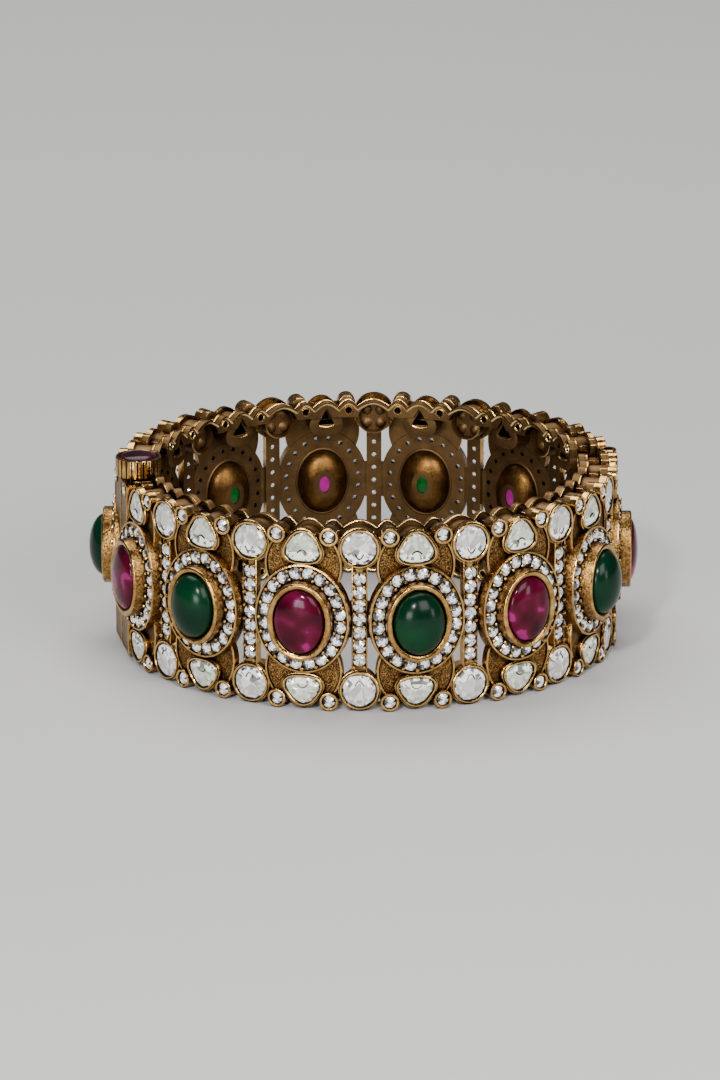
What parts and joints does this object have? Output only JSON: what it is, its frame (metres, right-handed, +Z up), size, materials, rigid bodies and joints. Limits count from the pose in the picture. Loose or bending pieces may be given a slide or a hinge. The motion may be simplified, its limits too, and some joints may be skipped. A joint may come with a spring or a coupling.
{
  "type": "hinged gemstone bangle",
  "caption": "Broad hinged bangle in antique gold with oval red and green cabochons, polki and small white stones, pierced plates, scalloped rims and a fluted thumb screw clasp.",
  "frame": {"origin": "on the band's axis, in the plane of the bottom rim that the bangle stands on", "axes": "+Z up along the band's axis, -Y towards the front in the picture, +X to the right"},
  "size_m": [0.0749, 0.0744, 0.0278],
  "materials": {
    "antique_gold": "oxidised antique gold plating on brass, bright on worn edges",
    "ruby_glass": "polished deep crimson cabochon",
    "emerald_glass": "polished deep green cabochon"
  },
  "bodies": {
    "front_half": {"front_frame": "antique_gold", "hinge_pin": "antique_gold", "cabochon_00": "emerald_glass", "cabochon_01": "ruby_glass", "cabochon_02": "emerald_glass", "cabochon_03": "ruby_glass", "cabochon_11": "ruby_glass", "cabochon_12": "emerald_glass", "cabochon_13": "ruby_glass"},
    "back_half": {"back_frame": "antique_gold", "cabochon_04": "emerald_glass", "cabochon_05": "ruby_glass", "cabochon_06": "emerald_glass", "cabochon_07": "ruby_glass", "cabochon_08": "emerald_glass", "cabochon_09": "ruby_glass", "cabochon_10": "emerald_glass"},
    "screw": {"clasp_screw": "antique_gold", "knob_stone": "ruby_glass"}
  },
  "joints": [
    {"name": "hinge", "type": "hinge", "parent": "front_half", "child": "back_half", "pos_m": [0.03281, 0.00749, 0.01265], "axis": [0, 0, -1], "range_deg": [0, 60]},
    {"name": "screw_lift", "type": "slide", "parent": "front_half", "child": "screw", "axis": [0, 0, 1], "range_m": [0, 0.022]}
  ]
}
